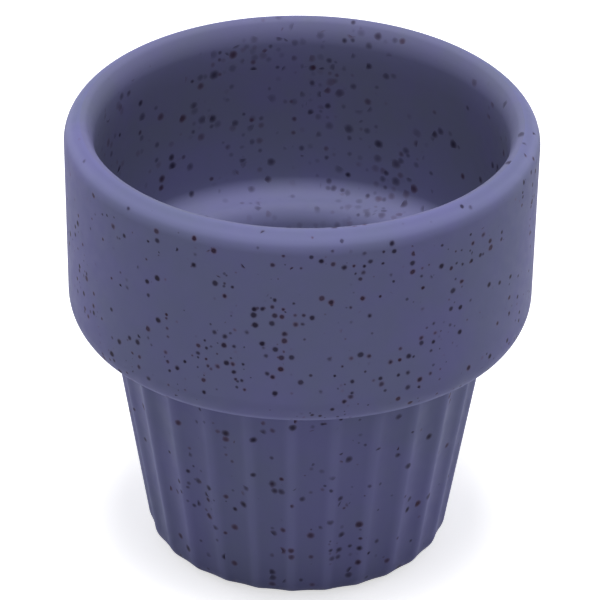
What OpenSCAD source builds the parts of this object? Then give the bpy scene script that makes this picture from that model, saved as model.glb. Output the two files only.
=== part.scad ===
// Stackable stoneware cup.
// A wide plain collar stands on a narrower base that tapers to the foot and is
// fluted all round. The base of one cup goes into the mouth of the next, and the
// collar's flat underside then rests on that cup's lip. The fired clay is one
// body. The glaze lies on it in three coats: outside, inside and under the foot.
// The sizes are those of the glazed cup. The origin is the centre of the foot's
// face, Z points up, and a rib of the base faces the front, along -Y.

/* [Cup] */
// Diameter at the widest point, just below the lip
cup_d = 80; // [76:0.5:88]
// Height from the table to the crest of the lip
cup_h = 78.8; // [74:0.1:90]

/* [Lip] */
// Radius of the lip's outer rounding
lip_outer_r = 4; // [3.2:0.1:4.6]
// Radius of the lip's inner rounding, over its crest
lip_inner_r = 1.4; // [1:0.1:1.8]
// Angle above the horizontal at which the inner rounding takes over
lip_turn = 60; // [50:1:70]
// Radius of the long rounding that leads from the crest down into the bowl
throat_r = 6.5; // [4:0.1:8]
// Angle above the horizontal at which the long rounding takes over
throat_turn = 35; // [30:1:45]

/* [Collar] */
// Draft of the collar's wall, narrower towards the bottom, in degrees
collar_draft = 1.5; // [0.5:0.1:2.5]
// Height of the flat underside that rests on the cup below
shoulder_z = 42.4; // [38:0.1:45]
// Radius of the large rounding under the collar
shoulder_r = 7; // [5.5:0.1:8]
// Radius of the small rounding at the edge of the underside
shoulder_edge_r = 1; // [0.7:0.1:1.5]
// Angle below the horizontal at which the small rounding takes over
shoulder_turn = 39; // [32:1:50]

/* [Base] */
// Radius over the ribs at the underside of the collar
base_top_r = 32.4; // [31:0.1:33]
// Radius over the ribs where the wall's line would meet the table
base_foot_r = 24.9; // [23.5:0.1:26]
// Radius of the rounding round the foot
foot_r = 4.2; // [3.2:0.1:5]

/* [Flutes] */
// Number of flutes, with a rib between each two
flute_count = 26; // [24:1:28]
// Depth of a flute below the ribs, halfway up the base
flute_depth = 0.75; // [0.6:0.05:0.9]
// Radius of the scoop that cuts a flute, halfway up the base
flute_r = 8; // [7.5:0.1:9]
// Depth of the scoop that carries each flute out through the foot's rounding
scoop_depth = 0.4; // [0.2:0.05:0.5]
// Radius of that scoop
scoop_r = 6; // [5:0.1:7]

/* [Inside] */
// Height of the ledge inside, where the bowl narrows to the well
ledge_z = 46.4; // [45:0.1:47]
// Radius of the fillet between the bowl's wall and the ledge
ledge_fillet_r = 3; // [2:0.1:4]
// Radius of the ledge's rounded inner edge
ledge_edge_r = 2.5; // [1.5:0.1:3]
// Radius of the well at the ledge's rounding
well_top_r = 28; // [27:0.1:28.5]
// Height of the floor inside
floor_z = 5.2; // [4.5:0.1:8]
// Radius of the fillet between the floor and the well's wall
floor_fillet_r = 7; // [4:0.1:10]

/* [Foot ring] */
// Width of the ring of bare clay that the cup stands on
ring_w = 4.6; // [3.5:0.1:6]
// Depth of the recess inside the ring
recess_h = 1.5; // [1:0.1:2]
// How far the recess narrows from the ring to its ceiling
recess_step = 1; // [0.5:0.1:1.5]

/* [Glaze] */
// Thickness of the glaze
glaze_t = 0.35; // [0.25:0.05:0.45]
// Height at which the outer coat ends above the table
glaze_line_z = 0.4; // [0.4:0.05:1]

/* [Hidden] */
$fn = 120;
glaze_color = "#66698f";
liner_color = "#54567a";
clay_color = "#8d8177";

// Offset that keeps surfaces from meeting in one point or along one line
blend = 0.02;
// Length by which cutting shapes pass through what they cut
past = 3;
// Largest step of an arc, in degrees
arc_step = 7.5;

// Centres of the lip's roundings, as [radius, height]
lip_in = [
    cup_d / 2 - lip_outer_r + (lip_outer_r - lip_inner_r) * cos(lip_turn),
    cup_h - lip_inner_r
];
lip_out = lip_in - (lip_outer_r - lip_inner_r) * ray(lip_turn);
throat = lip_in - (throat_r - lip_inner_r) * ray(180 - throat_turn);

// Centres of the collar's lower roundings. The large one touches the wall's line.
shoulder_h = shoulder_z + shoulder_edge_r + (shoulder_r - shoulder_edge_r) * sin(shoulder_turn);
shoulder = [
    lip_out.x + (lip_outer_r - shoulder_r) / cos(collar_draft)
        - (lip_out.y - shoulder_h) * tan(collar_draft),
    shoulder_h
];
shoulder_edge = shoulder + (shoulder_r - shoulder_edge_r) * ray(-shoulder_turn);

// The base's wall is a cone, and each flute is cut by a cone with nearly the same
// apex, so that flutes and ribs keep their proportions all the way down.
wall_angle = atan((base_top_r - base_foot_r) / shoulder_z);
apex_z = -base_foot_r / tan(wall_angle);
flute_step = 360 / flute_count;
mid_h = shoulder_z / 2 - apex_z;
mid_r = mid_h * tan(wall_angle);
flute_polar = atan((mid_r - flute_depth + flute_r) / mid_h);
flute_half = flute_polar - atan((mid_r - flute_depth) / mid_h);

// Centre of the foot's rounding, and the direction of the scoops across it
foot = [base_foot_r - foot_r * (1 - sin(wall_angle)) / cos(wall_angle), foot_r];
scoop_turn = 45;

// Centres of the roundings inside the cup
ledge_edge = [well_top_r + ledge_edge_r, ledge_z - ledge_edge_r];
ledge_fillet = [
    beside(throat, throat_r + ledge_fillet_r, ledge_z + ledge_fillet_r, collar_draft),
    ledge_z + ledge_fillet_r
];
floor_fillet = [
    beside(ledge_edge, ledge_edge_r + floor_fillet_r, floor_z + floor_fillet_r, wall_angle),
    floor_z + floor_fillet_r
];

// Radius of the recess at its ceiling
recess_r = foot.x - ring_w - recess_step;

// The base's fluted wall and the cup's inner wall are made apart. Their joint
// runs inside the clay, halfway between the well and the flutes.
joint_r = (well_top_r + base_top_r - flute_depth) / 2;
joint_lap = (joint_r - well_top_r - glaze_t) / 2;

// Unit vector at an angle in the plane of a profile
function ray(a) = [cos(a), sin(a)];

// Points of an arc from one angle to another
function arc(centre, r, from, to) =
    let (n = ceil(abs(to - from) / arc_step))
    [for (i = [0:n]) centre + r * ray(from + (to - from) * i / n)];

// Radius of a point at height z that lies a given distance inside a centre,
// measured square to a wall of the given draft
function beside(centre, gap, z, draft) =
    centre.x - (gap - (z - centre.y) * sin(draft)) / cos(draft);

// Points in reverse order
function back(points) = [for (i = [len(points) - 1:-1:0]) points[i]];

// Outline of the collar from its underside to the crest of the lip, grown by g
function collar_line(g) = concat(
    arc(shoulder_edge, shoulder_edge_r + g, -90, -shoulder_turn),
    arc(shoulder, shoulder_r + g, -shoulder_turn, -collar_draft),
    arc(lip_out, lip_outer_r + g, -collar_draft, lip_turn),
    arc(lip_in, lip_inner_r + g, lip_turn, 90)
);

// Outline of the hollow from the crest of the lip down over the bowl, the ledge
// and the well to the middle of the floor, grown by g
function hollow_line(g) = concat(
    arc(lip_in, lip_inner_r + g, 90, 180 - throat_turn),
    arc(throat, throat_r + g, 180 - throat_turn, 180 - collar_draft),
    arc(ledge_fillet, ledge_fillet_r - g, -collar_draft, -90),
    arc(ledge_edge, ledge_edge_r + g, 90, 180 - wall_angle),
    arc(floor_fillet, floor_fillet_r - g, -wall_angle, -90),
    [[0, floor_z + g]]
);

// Radius of the joint inside the clay at height z
function joint_at(z) = joint_r - (shoulder_z - z) * tan(wall_angle);

// Directions of the ribs and flutes round the cup
function rib_turn(i) = -90 + i * flute_step;
function flute_turn(i) = rib_turn(i + 0.5);

// Plain cone of the base's wall up to a height, grown by g
module wall_cone(top, g) {
    cylinder(
        h = top,
        r1 = base_foot_r + g / cos(wall_angle),
        r2 = base_foot_r + top * tan(wall_angle) + g / cos(wall_angle)
    );
}

// Cutters of every second flute, from the given one on, for a base grown by g
module flute_cutters(first, g) {
    low = -apex_z - past;
    high = (shoulder_z - apex_z + past) / cos(flute_polar);
    slack = (blend - g) / cos(flute_half);
    for (i = [first:2:flute_count - 1])
        translate([0, 0, apex_z])
            rotate([0, flute_polar, flute_turn(i)])
                translate([0, 0, low])
                    cylinder(
                        h = high - low,
                        r1 = low * tan(flute_half) + slack,
                        r2 = high * tan(flute_half) + slack
                    );
}

// Ring that cuts the foot's rounding, for a base grown by g
module foot_rounding(g) {
    cut_r = foot_r + g;
    rotate_extrude()
        difference() {
            translate([foot.x, -past])
                square([foot_r + past, past + foot.y - cut_r * sin(wall_angle)]);
            translate(foot)
                circle(cut_r + blend);
        }
}

// Scoops that carry the flutes out across the foot's rounding
module foot_scoops(g) {
    out = foot + (foot_r - scoop_depth + scoop_r) * ray(-scoop_turn);
    for (i = [0:flute_count - 1])
        rotate([0, 0, flute_turn(i)])
            translate([out.x, 0, out.y])
                rotate([0, scoop_turn, 0])
                    cylinder(h = 4 * foot_r, r = scoop_r - g, center = true);
}

// Solid fluted base up to a height, grown by g. The flutes are cut in two passes,
// because the cutters of neighbouring flutes overlap each other.
module fluted_base(top, g) {
    difference() {
        difference() {
            wall_cone(top, g);
            flute_cutters(0, g);
        }
        flute_cutters(1, g);
        foot_rounding(g);
        foot_scoops(g);
    }
}

// Fired clay under the glaze, with the bare foot ring
module stoneware_body() {
    floor_under = floor_z - 2 * glaze_t - joint_lap;
    color(clay_color)
        difference() {
            union() {
                inner_wall(floor_under);
                difference() {
                    fluted_base(shoulder_z + 2 * glaze_t, -glaze_t);
                    base_hollow(floor_under + joint_lap);
                }
            }
            foot_recess();
        }
}

// Collar, ledge, well and floor in one turned shape, down to the given height
module inner_wall(low) {
    rotate_extrude()
        polygon(concat(
            [[joint_at(low), low], [joint_r, shoulder_z + glaze_t]],
            collar_line(-glaze_t),
            hollow_line(-glaze_t),
            [[0, low]]
        ));
}

// Hollow of the fluted base, which the inner wall fills again with a lap
module base_hollow(low) {
    top = shoulder_z + past;
    translate([0, 0, low])
        cylinder(
            h = top - low,
            r1 = joint_at(low) - joint_lap,
            r2 = joint_at(top) - joint_lap
        );
}

// Recess inside the foot ring
module foot_recess() {
    translate([0, 0, -recess_h])
        cylinder(h = 2 * recess_h, r1 = recess_r + 2 * recess_step, r2 = recess_r);
}

// Outer coat: from the crest of the lip down to just above the foot ring
module outer_glaze() {
    color(glaze_color)
        difference() {
            union() {
                rotate_extrude()
                    polygon(concat(
                        [[joint_r, shoulder_z + glaze_t], [joint_r, shoulder_z]],
                        collar_line(0),
                        back(collar_line(-glaze_t))
                    ));
                fluted_base(shoulder_z + glaze_t, 0);
            }
            fluted_base(shoulder_z + past, -glaze_t);
            translate([0, 0, glaze_line_z - past])
                cylinder(h = past, r = cup_d);
        }
}

// Liner: from the crest of the lip over the bowl, the ledge and the well
module inner_glaze() {
    color(liner_color)
        rotate_extrude()
            polygon(concat(hollow_line(0), back(hollow_line(-glaze_t))));
}

// Coat on the ceiling of the recess inside the foot ring
module foot_glaze() {
    color(liner_color)
        translate([0, 0, recess_h - glaze_t])
            cylinder(
                h = glaze_t,
                r1 = recess_r + recess_step * glaze_t / recess_h,
                r2 = recess_r
            );
}

stoneware_body();
outer_glaze();
inner_glaze();
foot_glaze();
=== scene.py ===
import bmesh
import bpy
import math
from mathutils import Matrix, Vector


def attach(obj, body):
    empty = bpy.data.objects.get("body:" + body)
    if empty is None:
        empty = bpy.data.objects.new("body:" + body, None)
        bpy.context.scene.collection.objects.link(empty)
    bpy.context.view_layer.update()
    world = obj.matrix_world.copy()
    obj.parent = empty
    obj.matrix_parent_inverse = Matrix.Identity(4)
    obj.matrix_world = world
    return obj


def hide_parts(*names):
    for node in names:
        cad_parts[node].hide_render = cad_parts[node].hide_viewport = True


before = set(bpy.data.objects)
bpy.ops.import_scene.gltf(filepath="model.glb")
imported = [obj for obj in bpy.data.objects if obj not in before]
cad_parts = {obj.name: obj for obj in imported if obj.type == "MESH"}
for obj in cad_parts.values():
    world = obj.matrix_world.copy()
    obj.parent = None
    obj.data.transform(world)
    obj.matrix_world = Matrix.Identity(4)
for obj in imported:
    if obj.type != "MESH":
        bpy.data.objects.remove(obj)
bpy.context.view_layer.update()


# The fired clay. A grey-brown stoneware with iron grains in it, slip-cast in one
# piece. Glaze hides all of it but the ring that the cup stands on, which is wiped
# bare before the firing and is a little polished by the table.
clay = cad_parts["stoneware_body"]
dark_clay, pale_clay = (0.27, 0.205, 0.165, 1), (0.36, 0.29, 0.245, 1)
clay_grain, clay_iron = (0.15, 0.115, 0.095, 1), (0.03, 0.02, 0.018, 1)
polished, unpolished = 0.62, 0.9
grain_relief = 0.00008
speck_scatter = 0.65
ragged_scale, ragged_reach = 1200.0, 0.00022
smallest_share, size_spread = 0.6, 0.7


def new_material(name):
    material = bpy.data.materials.new(name)
    material.use_nodes = True
    tree = material.node_tree
    return material, tree, tree.nodes["Principled BSDF"]


def add_node(tree, kind, inputs=None, **settings):
    """A new node with its settings, and with its inputs set or linked"""
    made = tree.nodes.new(kind)
    for setting, value in settings.items():
        setattr(made, setting, value)
    for socket, value in (inputs or {}).items():
        if isinstance(value, bpy.types.NodeSocket):
            tree.links.new(value, made.inputs[socket])
        else:
            made.inputs[socket].default_value = value
    return made


def math_node(tree, operation, first, second=0.0, third=0.0):
    inputs = {0: first, 1: second, 2: third}
    return add_node(tree, "ShaderNodeMath", inputs, operation=operation).outputs[0]


def product(tree, first, second):
    return math_node(tree, "MULTIPLY", first, second)


def vector_node(tree, operation, inputs):
    return add_node(tree, "ShaderNodeVectorMath", inputs, operation=operation).outputs[0]


def noise(tree, where, scale, detail, roughness=0.5):
    inputs = {"Vector": where, "Scale": scale, "Detail": detail, "Roughness": roughness}
    return add_node(tree, "ShaderNodeTexNoise", inputs).outputs


def bump(tree, height, strength, distance, inputs=None, **settings):
    inputs = {"Height": height, "Strength": strength, "Distance": distance, **(inputs or {})}
    return add_node(tree, "ShaderNodeBump", inputs, **settings).outputs["Normal"]


def blend_colors(tree, amount, first, second):
    """Colour that goes from the first to the second with the amount"""
    mixed = add_node(tree, "ShaderNodeMix", data_type="RGBA")
    for name, value in (("Factor", amount), ("A", first), ("B", second)):
        if isinstance(value, bpy.types.NodeSocket):
            tree.links.new(value, mixed.inputs[name])
        else:
            mixed.inputs[name].default_value = value
    return mixed.outputs["Result"]


def steps_between(tree, value, low, high, low_out=0.0, high_out=1.0):
    """Smooth step of a value, from low_out at low to high_out at high"""
    inputs = {"Value": value, "From Min": low, "From Max": high, "To Min": low_out, "To Max": high_out}
    step = add_node(tree, "ShaderNodeMapRange", inputs, interpolation_type="SMOOTHSTEP")
    return step.outputs["Result"]


def iron_speck_group():
    """Round iron specks of one size class, which gather where a slow noise is high"""
    group = bpy.data.node_groups.new("iron_specks", "ShaderNodeTree")
    for name, kind, default in (
        ("Vector", "NodeSocketVector", (0.0, 0.0, 0.0)),
        ("Cells per metre", "NodeSocketFloat", 600.0),
        ("Radius", "NodeSocketFloat", 0.0004),
        ("Share", "NodeSocketFloat", 0.5),
        ("Gathering", "NodeSocketFloat", 0.5),
        ("Soft edge", "NodeSocketFloat", 0.25),
        ("Fading", "NodeSocketFloat", 0.5),
    ):
        socket = group.interface.new_socket(name=name, in_out="INPUT", socket_type=kind)
        socket.default_value = default
    for name in ("Speck", "Core", "Halo", "Rust"):
        group.interface.new_socket(name=name, in_out="OUTPUT", socket_type="NodeSocketFloat")
    start = group.nodes.new("NodeGroupInput").outputs
    end = group.nodes.new("NodeGroupOutput").inputs

    # Each cell can hold one speck, whose edge is made ragged by moving the place a little.
    ragged = noise(group, start["Vector"], ragged_scale, 1.0)["Color"]
    ragged = vector_node(group, "SUBTRACT", {0: ragged, 1: (0.5, 0.5, 0.5)})
    ragged = vector_node(group, "SCALE", {0: ragged, 3: ragged_reach})
    place = vector_node(group, "ADD", {0: start["Vector"], 1: ragged})
    cell_inputs = {"Vector": place, "Scale": start["Cells per metre"], "Randomness": speck_scatter}
    cells = add_node(group, "ShaderNodeTexVoronoi", cell_inputs).outputs
    distance = math_node(group, "DIVIDE", cells["Distance"], start["Cells per metre"])
    draw = add_node(group, "ShaderNodeSeparateColor", {"Color": cells["Color"]}).outputs

    # The cell's red decides whether its speck is there, and its blue how faint that is.
    crowd = noise(group, start["Vector"], 75.0, 1.5, 0.6)["Fac"]
    crowding = steps_between(group, crowd, 0.36, 0.66, -1.0, 1.0)
    chance = math_node(group, "MULTIPLY_ADD", crowding, start["Gathering"], 1.0)
    present = math_node(group, "LESS_THAN", draw["Red"], product(group, chance, start["Share"]))
    faded = product(group, draw["Blue"], start["Fading"])
    present = product(group, present, math_node(group, "SUBTRACT", 1.0, faded))

    # Its green sets the speck's size. The masks run out from the middle by shares of it.
    own_radius = math_node(group, "MULTIPLY_ADD", draw["Green"], size_spread, smallest_share)
    own_radius = product(group, own_radius, start["Radius"])
    reach = math_node(group, "DIVIDE", distance, own_radius)
    within = math_node(group, "SUBTRACT", 1.0, start["Soft edge"])
    beyond = math_node(group, "ADD", 1.0, start["Soft edge"])
    for name, full, gone in (("Speck", within, beyond), ("Core", 0.1, 0.7), ("Halo", 0.8, 1.7)):
        mask = product(group, steps_between(group, reach, full, gone, 1.0, 0.0), present)
        group.links.new(mask, end[name])

    # About every third speck has a rusty heart, drawn from the blue's finer digits.
    own_rust = math_node(group, "FRACT", product(group, draw["Blue"], 5.0))
    group.links.new(steps_between(group, own_rust, 0.45, 0.85), end["Rust"])
    return group


iron_specks = iron_speck_group()


def place_specks(tree, where, cells, radius, share, gathering, soft_edge, fading):
    values = {
        "Vector": where, "Cells per metre": cells, "Radius": radius, "Share": share,
        "Gathering": gathering, "Soft edge": soft_edge, "Fading": fading,
    }
    return add_node(tree, "ShaderNodeGroup", values, node_tree=iron_specks).outputs


def bare_stoneware():
    material, tree, shader = new_material("bare_stoneware")
    where = add_node(tree, "ShaderNodeTexCoord").outputs["Object"]
    grain = noise(tree, where, 1900.0, 4.0, 0.65)["Fac"]
    patches = noise(tree, where, 90.0, 3.0)["Fac"]
    tone = blend_colors(tree, steps_between(tree, patches, 0.3, 0.7), dark_clay, pale_clay)
    tone = blend_colors(tree, steps_between(tree, grain, 0.42, 0.72, 0.0, 0.45), tone, clay_grain)
    specks = place_specks(
        tree, where, cells=620.0, radius=0.00022, share=0.4, gathering=0.4, soft_edge=0.2, fading=0.4,
    )
    tone = blend_colors(tree, specks["Speck"], tone, clay_iron)
    tree.links.new(tone, shader.inputs["Base Color"])
    rough = steps_between(tree, grain, 0.3, 0.7, polished, unpolished)
    tree.links.new(rough, shader.inputs["Roughness"])
    tree.links.new(bump(tree, grain, 0.5, grain_relief), shader.inputs["Normal"])
    return material


clay.data.materials.clear()
clay.data.materials.append(bare_stoneware())


# The outer coat of glaze. A satin blue-violet glaze, dipped and fused to the clay,
# with iron specks that melted up through it. It runs thin and light over the lip,
# the ribs and the collar's edge, where its colour also holds painted highlights, and
# pools dark in the flutes, where painted shade is added under the collar and near
# the foot. It ends above the foot.
glaze_t = 0.00035
lip_inner_r, lip_outer_r, lip_turn = 0.0014, 0.004, 60.0
lip_in = Vector((0.0373, 0.0, 0.0774))
collar_draft = 1.5
shoulder_z, shoulder_r, shoulder_edge_r, shoulder_turn = 0.0424, 0.007, 0.001, 39.0
base_top_r, base_foot_r, foot_r = 0.0324, 0.0249, 0.0042
wall_slope = (base_top_r - base_foot_r) / shoulder_z
wall_angle = math.degrees(math.atan(wall_slope))
glaze_end_turn, glaze_end_z = -65.0, 0.0008
corner_pool_r = 0.0007
flute_count, flute_depth, flute_r = 26, 0.00075, 0.008
turn_steps_per_flute = 14
rib_edge_r = 0.00012
corner_gap, corner_run_out = 0.00005, 0.0009
foot_flute_share, foot_run_out = 0.45, (0.001, 0.012)
# Shares of lighter and darker colour: glaze break with painted highlights on the ribs and the lip, pooled
# glaze with painted shade on the base and in the corner under the collar.
rib_break_and_highlight, flute_pool_and_shade, corner_pool_and_shade = 0.62, -0.25, -0.4
lip_break_and_highlight = 0.7

even_glaze, deep_glaze = (0.164, 0.164, 0.347, 1), (0.158, 0.17, 0.305, 1)
# Lighter glaze for thin glaze and painted highlights, darker glaze for pooled glaze and painted shade.
thin_and_lit_glaze, pooled_and_shaded_glaze = (0.235, 0.243, 0.455, 1), (0.075, 0.083, 0.175, 1)
iron_black = (0.009, 0.005, 0.022, 1)
plain_halo, rusty_halo = (0.08, 0.058, 0.11, 1), (0.15, 0.05, 0.07, 1)
plain_heart, rusty_heart = (0.005, 0.002, 0.008, 1), (0.07, 0.018, 0.018, 1)
satin, sheen = (0.6, 0.7), 0.12


def off_centre(centre, radius, angle):
    """Point of a circle in the plane of an outline, at an angle above the horizontal"""
    angle = math.radians(angle)
    return centre + radius * Vector((math.cos(angle), 0.0, math.sin(angle)))


def round_on(bm, tip, centre, angle, steps):
    """Carries an outline on from its tip round a centre"""
    turn = math.radians(angle)
    arc = bmesh.ops.spin(bm, geom=[tip], cent=centre, axis=(0, -1, 0), angle=turn, steps=steps)
    return [part for part in arc["geom_last"] if isinstance(part, bmesh.types.BMVert)][0]


def straight_on(bm, tip, end, steps):
    """Carries an outline on from its tip to a point"""
    step = (end - tip.co) / steps
    for _ in range(steps):
        tip = bmesh.ops.extrude_vert_indiv(bm, verts=[tip])["verts"][0]
        tip.co += step
    return tip


def base_radius(z):
    return base_foot_r + z * wall_slope


def outer_outline(bm):
    """Half outline of the outer coat's surface, from above the foot to the crest of the lip"""
    draft, slope = math.radians(collar_draft), math.radians(wall_angle)
    lip_out = off_centre(lip_in, lip_inner_r - lip_outer_r, lip_turn)
    shoulder_rise = (shoulder_r - shoulder_edge_r) * math.sin(math.radians(shoulder_turn))
    shoulder_h = shoulder_z + shoulder_edge_r + shoulder_rise
    shoulder_x = lip_out.x + (lip_outer_r - shoulder_r) / math.cos(draft)
    shoulder_x -= (lip_out.z - shoulder_h) * math.tan(draft)
    shoulder = Vector((shoulder_x, 0.0, shoulder_h))
    shoulder_edge = off_centre(shoulder, shoulder_r - shoulder_edge_r, -shoulder_turn)
    foot_x = base_foot_r - foot_r * (1 - math.sin(slope)) / math.cos(slope)
    foot = Vector((foot_x, 0.0, foot_r))
    pool_z = shoulder_z - corner_pool_r
    pool = Vector((base_radius(pool_z) + corner_pool_r / math.cos(slope), 0.0, pool_z))

    tip = bm.verts.new(off_centre(foot, foot_r, glaze_end_turn))
    tip = round_on(bm, tip, foot, -wall_angle - glaze_end_turn, steps=18)
    tip = straight_on(bm, tip, off_centre(pool, corner_pool_r, 180 - wall_angle), steps=26)
    tip = round_on(bm, tip, pool, wall_angle - 90, steps=8)
    tip = straight_on(bm, tip, off_centre(shoulder_edge, shoulder_edge_r, -90), steps=3)
    tip = round_on(bm, tip, shoulder_edge, 90 - shoulder_turn, steps=6)
    tip = round_on(bm, tip, shoulder, shoulder_turn - collar_draft, steps=14)
    tip = straight_on(bm, tip, off_centre(lip_out, lip_outer_r, -collar_draft), steps=8)
    tip = round_on(bm, tip, lip_out, collar_draft + lip_turn, steps=18)
    round_on(bm, tip, lip_in, 90 - lip_turn, steps=8)


def turn_on_wheel(bm):
    """Surface of revolution round Z of the outline drawn so far"""
    bmesh.ops.spin(
        bm, geom=bm.verts[:] + bm.edges[:], cent=(0, 0, 0), axis=(0, 0, 1), angle=2 * math.pi,
        steps=flute_count * turn_steps_per_flute, use_merge=True,
    )
    bmesh.ops.remove_doubles(bm, verts=bm.verts, dist=1e-7)
    bmesh.ops.recalc_face_normals(bm, faces=bm.faces)


def smooth_share(value, low, high):
    """Smooth step of a value, from 0 at low to 1 at high"""
    share = min(1.0, max(0.0, (value - low) / (high - low)))
    return share * share * (3 - 2 * share)


def flute_shape(turn):
    """How deep a flute is in a direction round the cup, halfway up the base, with rounded ribs"""
    middle_r = base_radius(shoulder_z / 2)
    phase = (turn / (2 * math.pi) + 0.25) * flute_count
    from_middle = math.pi * middle_r / flute_count * (1 - 2 * abs(phase - round(phase)))
    scoop = flute_depth - from_middle ** 2 * (0.5 / flute_r + 0.5 / middle_r)
    return rib_edge_r * math.log(1 + math.exp(scoop / rib_edge_r))


def flute_reach(z):
    """Share of the flutes' depth at a height. It falls in the corner under the collar and at the foot."""
    taper = base_radius(z) / base_radius(shoulder_z / 2)
    under_collar = min(1.0, max(0.0, (shoulder_z - corner_gap - z) / corner_run_out))
    at_foot = foot_flute_share + (1 - foot_flute_share) * smooth_share(z, *foot_run_out)
    return taper * under_collar * at_foot


def carve_flutes(bm):
    """Presses the flutes into the base, and notes where the colour is painted lighter, above 0, for thin
    glaze and painted highlights, and darker, below 0, for pooled glaze and painted shade
    """
    thinness_and_painted_shading = bm.verts.layers.float.new("thinness_and_painted_shading")
    for v in bm.verts:
        radius, z = math.hypot(v.co.x, v.co.y), v.co.z
        if z < shoulder_z - 1e-6 and radius < base_top_r + 0.0005:
            shape = flute_shape(math.atan2(v.co.y, v.co.x))
            depth = shape * flute_reach(z)
            v.co.x -= depth * v.co.x / radius
            v.co.y -= depth * v.co.y / radius
            # The ribs are painted lighter, glaze break and painted highlight, and less so under the collar,
            # where painted shade falls.
            on_rib = 1 - smooth_share(shape, 0.05 * flute_depth, 0.55 * flute_depth)
            on_rib *= 1 - 0.35 * smooth_share(z, shoulder_z - 0.01, shoulder_z - 0.002)
            # The flutes are painted darker near the foot and in the corner under the collar: pooled glaze and
            # painted shade.
            near_foot = 1 - smooth_share(z, 0.002, 0.009)
            in_corner = max(0.5 * near_foot, smooth_share(z, shoulder_z - 0.003, shoulder_z))
            pooling_and_shade = corner_pool_and_shade * (1 - on_rib) * in_corner
            # Every place on the base starts a little darker: pooled glaze in the flutes and painted shade
            # under the collar.
            v[thinness_and_painted_shading] = rib_break_and_highlight * on_rib + flute_pool_and_shade + pooling_and_shade
        elif z < shoulder_z + 0.003:
            # A thin lighter line painted along the collar's edge: glaze break and a painted highlight.
            v[thinness_and_painted_shading] = 1 - smooth_share(z, shoulder_z + 0.0006, shoulder_z + 0.0013)
        else:
            # A lighter band painted over the lip's crest: glaze break and a painted highlight.
            over_lip = smooth_share(z, 0.0764, 0.0773) * (1 - smooth_share(z, 0.0777, 0.0786))
            v[thinness_and_painted_shading] = lip_break_and_highlight * over_lip


def outer_coat():
    bm = bmesh.new()
    outer_outline(bm)
    turn_on_wheel(bm)
    carve_flutes(bm)
    bmesh.ops.solidify(bm, geom=bm.faces[:], thickness=glaze_t)
    low_edges = [e for e in bm.edges if max(v.co.z for v in e.verts) < glaze_end_z]
    end = [e for e in low_edges if e.calc_face_angle(0.0) > 1.0]
    bmesh.ops.bevel(
        bm, geom=end, offset=0.4 * glaze_t, affect="EDGES", segments=3, profile=0.5, material=-1,
    )
    bmesh.ops.recalc_face_normals(bm, faces=bm.faces)
    return bm


def finished_piece(name, bm):
    mesh = bpy.data.meshes.new(name)
    bm.to_mesh(mesh)
    bm.free()
    mesh.shade_smooth()
    mesh.set_sharp_from_angle(angle=math.radians(50))
    piece = bpy.data.objects.new(name, mesh)
    bpy.context.collection.objects.link(piece)
    return piece


def from_base_up(tree, height, on_base, on_collar):
    """Value that is one on the base and another on the collar"""
    return steps_between(tree, height, shoulder_z - 0.0005, shoulder_z, on_base, on_collar)


def glaze_color(tree, where, even_color, deep_color):
    """The glaze's colour, which drifts, lightened where the glaze is thin and where highlights are painted,
    and darkened where it pools and where shade is painted, with the masks of both
    """
    drift = noise(tree, where, 42.0, 4.0, 0.65)["Fac"]
    color = blend_colors(tree, steps_between(tree, drift, 0.34, 0.66), deep_color, even_color)
    thinness_and_painted_shading = add_node(tree, "ShaderNodeAttribute", attribute_name="thinness_and_painted_shading").outputs["Fac"]
    thin_and_lit = math_node(tree, "MAXIMUM", thinness_and_painted_shading, 0.0)
    pooled_and_shaded = product(tree, math_node(tree, "MINIMUM", thinness_and_painted_shading, 0.0), -1.0)
    # Thin glaze and painted highlights lighten the colour; pooled glaze and painted shade darken it.
    color = blend_colors(tree, product(tree, thin_and_lit, 0.6), color, thin_and_lit_glaze)
    color = blend_colors(tree, product(tree, pooled_and_shaded, 0.6), color, pooled_and_shaded_glaze)
    return color, thin_and_lit, pooled_and_shaded


def speck_presence(tree, where, base_sides, collar_sides):
    """Share of the specks at a place: fewer on the base, under the lip and at the cup's sides"""
    place = add_node(tree, "ShaderNodeSeparateXYZ", {0: where}).outputs
    by_height = from_base_up(tree, place["Z"], 0.45, 1.0)
    under_lip = steps_between(tree, place["Z"], 0.0745, 0.0765, 1.0, 0.35)
    at_sides = from_base_up(tree, place["Z"], base_sides, collar_sides)
    to_the_side = math_node(tree, "ABSOLUTE", place["X"])
    off_sides = steps_between(tree, to_the_side, 0.01, 0.023, 1.0, at_sides)
    return product(tree, product(tree, by_height, under_lip), off_sides), place["Z"]


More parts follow.
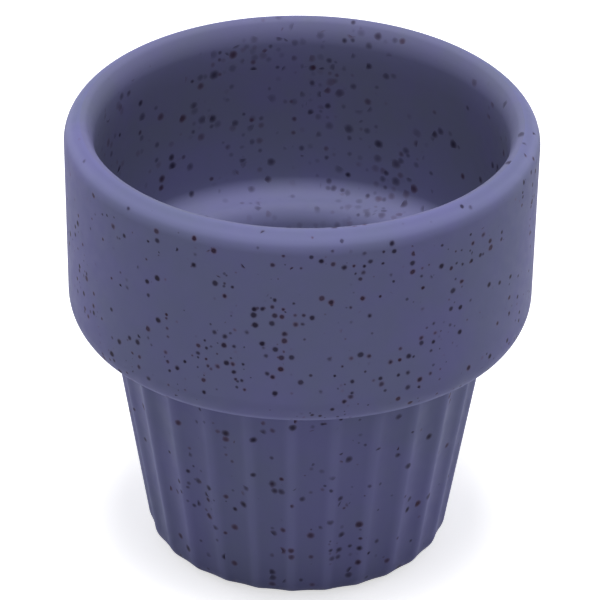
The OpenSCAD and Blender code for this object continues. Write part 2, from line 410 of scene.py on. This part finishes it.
def speckled_glaze(name, even_color, deep_color, base_sides, collar_sides, specks):
    """Glaze with layers of specks, of which the sides of the base and of the collar hold only a share"""
    material, tree, shader = new_material(name)
    where = add_node(tree, "ShaderNodeTexCoord").outputs["Object"]
    color, thin_and_lit, pooled_and_shaded = glaze_color(tree, where, even_color, deep_color)
    presence, height = speck_presence(tree, where, base_sides, collar_sides)
    # Specks show less on thin and pooled glaze, and so also where highlight and shade are painted.
    through_thin_and_lit = steps_between(tree, thin_and_lit, 0.45, 0.8, 1.0, 0.4)
    shown = product(tree, through_thin_and_lit, steps_between(tree, pooled_and_shaded, 0.1, 0.9, 1.0, 0.6))
    on_base = from_base_up(tree, height, 1.0, 0.0)
    relief = 0.0
    for cells, radius, share, gathering, soft_edge, fading, strength in specks:
        chance = product(tree, presence, share)
        wide = math_node(tree, "MULTIPLY_ADD", on_base, 0.2 * radius, radius)
        soft = math_node(tree, "MULTIPLY_ADD", on_base, 0.3, soft_edge)
        here = place_specks(tree, where, cells, wide, chance, gathering, soft, fading)
        halo_color = blend_colors(tree, here["Rust"], plain_halo, rusty_halo)
        heart_color = blend_colors(tree, here["Rust"], plain_heart, rusty_heart)
        halo = product(tree, product(tree, here["Halo"], 0.55 * strength), shown)
        color = blend_colors(tree, halo, color, halo_color)
        heart = product(tree, here["Core"], 0.6 * strength)
        speck_color = blend_colors(tree, heart, iron_black, heart_color)
        cover = product(tree, product(tree, here["Speck"], strength), shown)
        color = blend_colors(tree, cover, color, speck_color)
        relief = math_node(tree, "MAXIMUM", cover, relief)
    tree.links.new(color, shader.inputs["Base Color"])

    skin = noise(tree, where, 520.0, 2.0)["Fac"]
    swell = noise(tree, where, 60.0, 2.0)["Fac"]
    tree.links.new(steps_between(tree, skin, 0.3, 0.7, *satin), shader.inputs["Roughness"])
    shader.inputs["Specular IOR Level"].default_value = sheen
    waves = bump(tree, swell, 1.0, 0.00006)
    fine = bump(tree, skin, 0.25, 0.00004, {"Normal": waves})
    pits = bump(tree, relief, 0.5, 0.00005, {"Normal": fine}, invert=True)
    tree.links.new(pits, shader.inputs["Normal"])
    return material


# Each row: cells per metre, radius, share, gathering, soft edge, fading, strength.
glaze = speckled_glaze("speckled_glaze", even_glaze, deep_glaze, base_sides=0.12, collar_sides=0.8, specks=(
    (900.0, 0.0002, 0.17, 0.7, 0.4, 0.5, 0.75),
    (620.0, 0.00037, 0.52, 0.9, 0.36, 0.3, 1.0),
))
coat = finished_piece("outer_coat", outer_coat())
coat.data.materials.append(glaze)
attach(coat, "root")
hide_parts("outer_glaze")


# The inner coat of glaze, poured in and swirled before the outside is dipped. It
# meets the outer coat on the crest of the lip and runs down over the bowl's wall,
# the rounded ledge and the well to the flat floor. It is thick, and its specks blur.
throat_r, throat_turn = 0.0065, 35.0
bowl_bow = 1.8
ledge_z, ledge_fillet_r, ledge_edge_r, well_top_r = 0.0464, 0.003, 0.0025, 0.028
ledge_roll_r, ledge_roll_turn = 0.005, 35.0
floor_z, floor_fillet_r = 0.0052, 0.007
# Painted light on the bowl's wall below the lip, less at the crest; glaze break with painted light over the
# ledge, and painted bounce light up the wall and down the well from it.
throat_painted_light, crest_loss = 0.4, 0.2
ledge_edge_break_and_well_light, ledge_top_and_wall_light = 0.85, 0.45
even_liner, deep_liner = (0.154, 0.151, 0.295, 1), (0.149, 0.159, 0.248, 1)


def beside(centre, gap, z, draft):
    """Radius at a height that lies a gap inside a centre, square to a wall of the given draft"""
    draft = math.radians(draft)
    return centre.x - (gap - (z - centre.z) * math.sin(draft)) / math.cos(draft)


def liner_outline(bm):
    """Half outline of the liner's surface, from the crest of the lip to the middle of the floor"""
    throat = off_centre(lip_in, lip_inner_r - throat_r, 180 - throat_turn)
    ledge_edge = Vector((well_top_r + ledge_edge_r, 0.0, ledge_z - ledge_edge_r))
    ledge_roll = off_centre(ledge_edge, ledge_edge_r - ledge_roll_r, 180 - ledge_roll_turn)
    ledge_high = ledge_z + ledge_fillet_r
    ledge_x = beside(throat, throat_r + ledge_fillet_r, ledge_high, collar_draft)
    ledge_fillet = Vector((ledge_x, 0.0, ledge_high))
    floor_high = floor_z + floor_fillet_r
    floor_x = beside(ledge_roll, ledge_roll_r + floor_fillet_r, floor_high, wall_angle)
    floor_fillet = Vector((floor_x, 0.0, floor_high))

    tip = bm.verts.new(off_centre(lip_in, lip_inner_r, 90))
    tip = round_on(bm, tip, lip_in, 90 - throat_turn, steps=8)
    tip = round_on(bm, tip, throat, throat_turn - collar_draft + bowl_bow, steps=8)
    wall_end = off_centre(ledge_fillet, ledge_fillet_r, -collar_draft - bowl_bow)
    wall = wall_end - tip.co
    inwards = Vector((wall.z, 0.0, -wall.x))
    bow_centre = tip.co + wall / 2 + inwards * 0.5 / math.tan(math.radians(bowl_bow))
    tip = round_on(bm, tip, bow_centre, -2 * bowl_bow, steps=12)
    tip = round_on(bm, tip, ledge_fillet, collar_draft + bowl_bow - 90, steps=12)
    tip = straight_on(bm, tip, off_centre(ledge_edge, ledge_edge_r, 90), steps=2)
    tip = round_on(bm, tip, ledge_edge, 90 - ledge_roll_turn, steps=10)
    tip = round_on(bm, tip, ledge_roll, ledge_roll_turn - wall_angle, steps=6)
    tip = straight_on(bm, tip, off_centre(floor_fillet, floor_fillet_r, -wall_angle), steps=8)
    tip = round_on(bm, tip, floor_fillet, wall_angle - 90, steps=14)
    straight_on(bm, tip, Vector((0.0, 0.0, floor_z)), steps=4)


def note_thin_edges_and_painted_light(bm):
    """Notes where the liner is painted lighter: painted light below the lip, less at the crest, and glaze
    break with painted light over the ledge, with painted bounce light up the wall from the ledge and down the
    well from it
    """
    thinness_and_painted_shading = bm.verts.layers.float.new("thinness_and_painted_shading")
    for v in bm.verts:
        z = v.co.z
        # Painted light near the top of the bowl's wall, taken back a little at the crest.
        over_lip = throat_painted_light * smooth_share(z, 0.0705, 0.0742)
        over_lip -= crest_loss * smooth_share(z, 0.0752, 0.0765)
        # Over the ledge: glaze break and painted light on its edge and top, and painted bounce light down the
        # well and up the wall.
        over_ledge = smooth_share(z, 0.036, 0.0425) * (1 - smooth_share(z, ledge_z + 0.002, 0.066))
        on_top = smooth_share(z, ledge_z - 0.0014, ledge_z - 0.0002)
        at_ledge = ledge_edge_break_and_well_light + (ledge_top_and_wall_light - ledge_edge_break_and_well_light) * on_top
        v[thinness_and_painted_shading] = over_lip + over_ledge * at_ledge


def liner():
    bm = bmesh.new()
    liner_outline(bm)
    turn_on_wheel(bm)
    note_thin_edges_and_painted_light(bm)
    bmesh.ops.solidify(bm, geom=bm.faces[:], thickness=glaze_t)
    bmesh.ops.recalc_face_normals(bm, faces=bm.faces)
    return bm


liner_glaze = speckled_glaze("liner_glaze", even_liner, deep_liner, base_sides=0.2, collar_sides=0.2, specks=(
    (700.0, 0.00042, 0.42, 0.5, 0.85, 0.9, 0.7),
    (600.0, 0.00052, 0.5, 0.8, 0.8, 0.8, 0.85),
))
inner = finished_piece("inner_coat", liner())
inner.data.materials.append(liner_glaze)
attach(inner, "root")
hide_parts("inner_glaze")


# The glaze in the recess under the foot, poured with the rest and left inside the
# ring when the ring itself was wiped. It has the outer coat's colour and specks.
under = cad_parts["foot_glaze"]
under.data.materials.clear()
under.data.materials.append(glaze)


# The studio: a pale sweep of paper under a soft box overhead, with two weak ones
# low at the sides, and the camera at the photograph's height with its long lens.
overhead_w, side_w = 7.7, 1.5
cup_middle = Vector((0, 0, 0.045))
table_reach = 4.0
paper_white, paper_lighting, paper_glow = (0.95, 0.95, 0.95, 1), (0.45, 0.45, 0.47, 1), 0.62
sky_white, sky_lighting = (1, 1, 1, 1), (0.305, 0.305, 0.325, 1)
lens_mm, film_mm = 494.0, 36.0
side_turn, roll = math.radians(2.1), math.radians(0.75)
camera_away, camera_height, aim_height = 1.2124, 0.738, 0.0441


def facing(place, target):
    """Turns something at a place towards a target, along its own -Z"""
    turn = (target - place).to_track_quat("-Z", "Y").to_matrix().to_4x4()
    return Matrix.Translation(place) @ turn


def soft_box(name, place, size, power):
    lamp = bpy.data.lights.new(name, "AREA")
    lamp.shape = "SQUARE"
    lamp.size = size
    lamp.energy = power
    holder = bpy.data.objects.new(name, lamp)
    holder.matrix_world = facing(Vector(place), cup_middle)
    holder.visible_camera = False
    bpy.context.collection.objects.link(holder)


soft_box("soft_box_above", (0.0, -0.1, 1.0), 0.45, overhead_w)
soft_box("soft_box_left", (-0.68, 0.45, 0.12), 0.3, side_w)
soft_box("soft_box_right", (0.68, 0.45, 0.12), 0.3, side_w)


def seen_rays(tree):
    """1 where the camera sees the ground, also through glass and in a gloss, and 0 where it lights the cup"""
    rays = add_node(tree, "ShaderNodeLightPath").outputs
    seen = math_node(tree, "MAXIMUM", rays["Is Camera Ray"], rays["Is Transmission Ray"])
    return math_node(tree, "MAXIMUM", seen, rays["Is Glossy Ray"])


def paper():
    material, tree, shader = new_material("paper")
    shader.inputs["Roughness"].default_value = 0.9
    seen = seen_rays(tree)
    tone = blend_colors(tree, seen, paper_lighting, paper_white)
    tree.links.new(tone, shader.inputs["Base Color"])
    shader.inputs["Emission Color"].default_value = (1, 1, 1, 1)
    tree.links.new(product(tree, seen, paper_glow), shader.inputs["Emission Strength"])
    return material


def table():
    bm = bmesh.new()
    bmesh.ops.create_grid(bm, x_segments=1, y_segments=1, size=table_reach)
    top = finished_piece("table", bm)
    top.data.materials.append(paper())
    return top


table()

world = bpy.data.worlds.new("studio")
world.use_nodes = True
bpy.context.scene.world = world
sky = world.node_tree.nodes["Background"]
sky_color = blend_colors(world.node_tree, seen_rays(world.node_tree), sky_lighting, sky_white)
world.node_tree.links.new(sky_color, sky.inputs["Color"])

camera = bpy.data.objects.new("camera", bpy.data.cameras.new("camera"))
camera.data.sensor_width = film_mm
camera.data.lens = lens_mm
camera.data.clip_end = 20.0
stand = Vector((camera_away * math.sin(side_turn), -camera_away * math.cos(side_turn), camera_height))
aim = Vector((0.0, 0.0, aim_height))
camera.matrix_world = facing(stand, aim) @ Matrix.Rotation(roll, 4, "Z")
bpy.context.collection.objects.link(camera)
bpy.context.scene.camera = camera

bpy.context.scene.view_settings.view_transform = "Standard"
